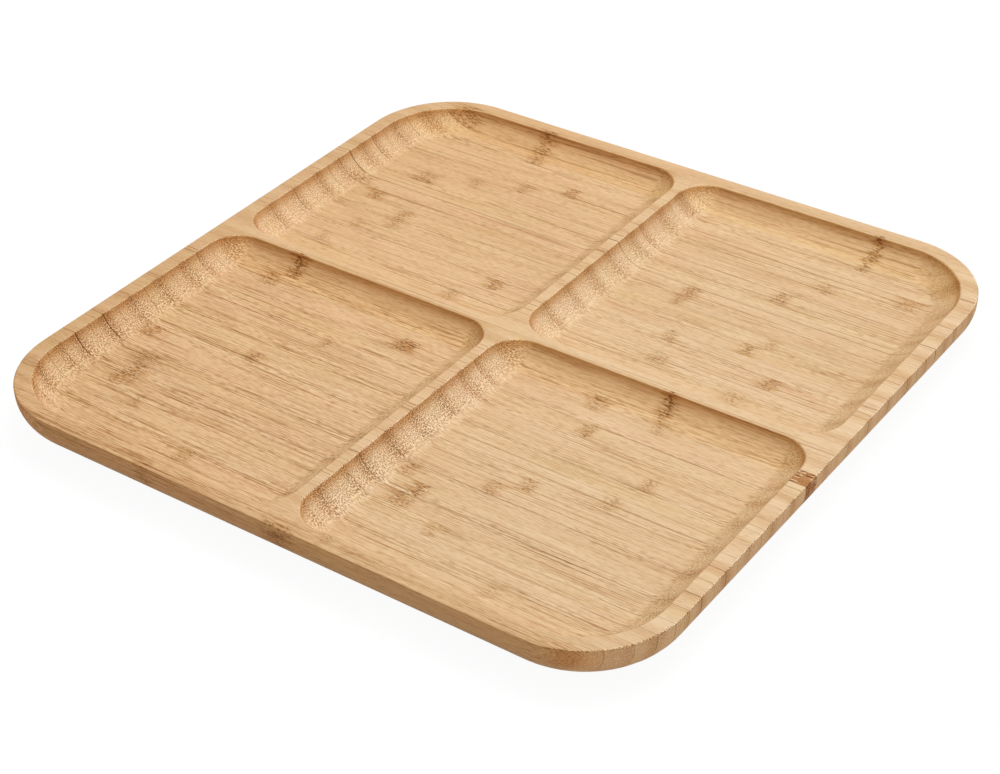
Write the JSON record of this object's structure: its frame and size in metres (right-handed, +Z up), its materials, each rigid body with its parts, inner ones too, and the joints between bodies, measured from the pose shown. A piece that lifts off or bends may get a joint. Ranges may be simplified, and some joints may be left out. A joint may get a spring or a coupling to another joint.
{
  "type": "divided plate",
  "caption": "Square serving plate of glued bamboo strips on edge, milled with coved compartments, a flat rim, rounded corners and a lower edge rounded up for the fingers.",
  "frame": {"origin": "middle of the flat underside, on the surface that the plate stands on", "axes": "+X along the grain of the strips, +Y across the strips from front to back, +Z up"},
  "size_m": [0.25, 0.25, 0.015],
  "materials": {
    "pale_bamboo": "oiled bamboo, fine straight grain, satin",
    "honey_bamboo": "oiled bamboo, fine straight grain, satin"
  },
  "bodies": {
    "root": {"front_edge_strip": "pale_bamboo", "front_strip_18": "honey_bamboo", "front_strip_17": "pale_bamboo", "front_strip_16": "honey_bamboo", "front_strip_15": "pale_bamboo", "front_strip_14": "honey_bamboo", "front_strip_13": "pale_bamboo", "front_strip_12": "honey_bamboo", "front_strip_11": "pale_bamboo", "front_strip_10": "honey_bamboo", "front_strip_09": "pale_bamboo", "front_strip_08": "honey_bamboo", "front_strip_07": "pale_bamboo", "front_strip_06": "honey_bamboo", "front_strip_05": "pale_bamboo", "front_strip_04": "honey_bamboo", "front_strip_03": "pale_bamboo", "front_strip_02": "honey_bamboo", "front_strip_01": "pale_bamboo", "back_strip_01": "honey_bamboo", "back_strip_02": "pale_bamboo", "back_strip_03": "honey_bamboo", "back_strip_04": "pale_bamboo", "back_strip_05": "honey_bamboo", "back_strip_06": "pale_bamboo", "back_strip_07": "honey_bamboo", "back_strip_08": "pale_bamboo", "back_strip_09": "honey_bamboo", "back_strip_10": "pale_bamboo", "back_strip_11": "honey_bamboo", "back_strip_12": "pale_bamboo", "back_strip_13": "honey_bamboo", "back_strip_14": "pale_bamboo", "back_strip_15": "honey_bamboo", "back_strip_16": "pale_bamboo", "back_strip_17": "honey_bamboo", "back_strip_18": "pale_bamboo", "back_edge_strip": "honey_bamboo"}
  },
  "joints": []
}
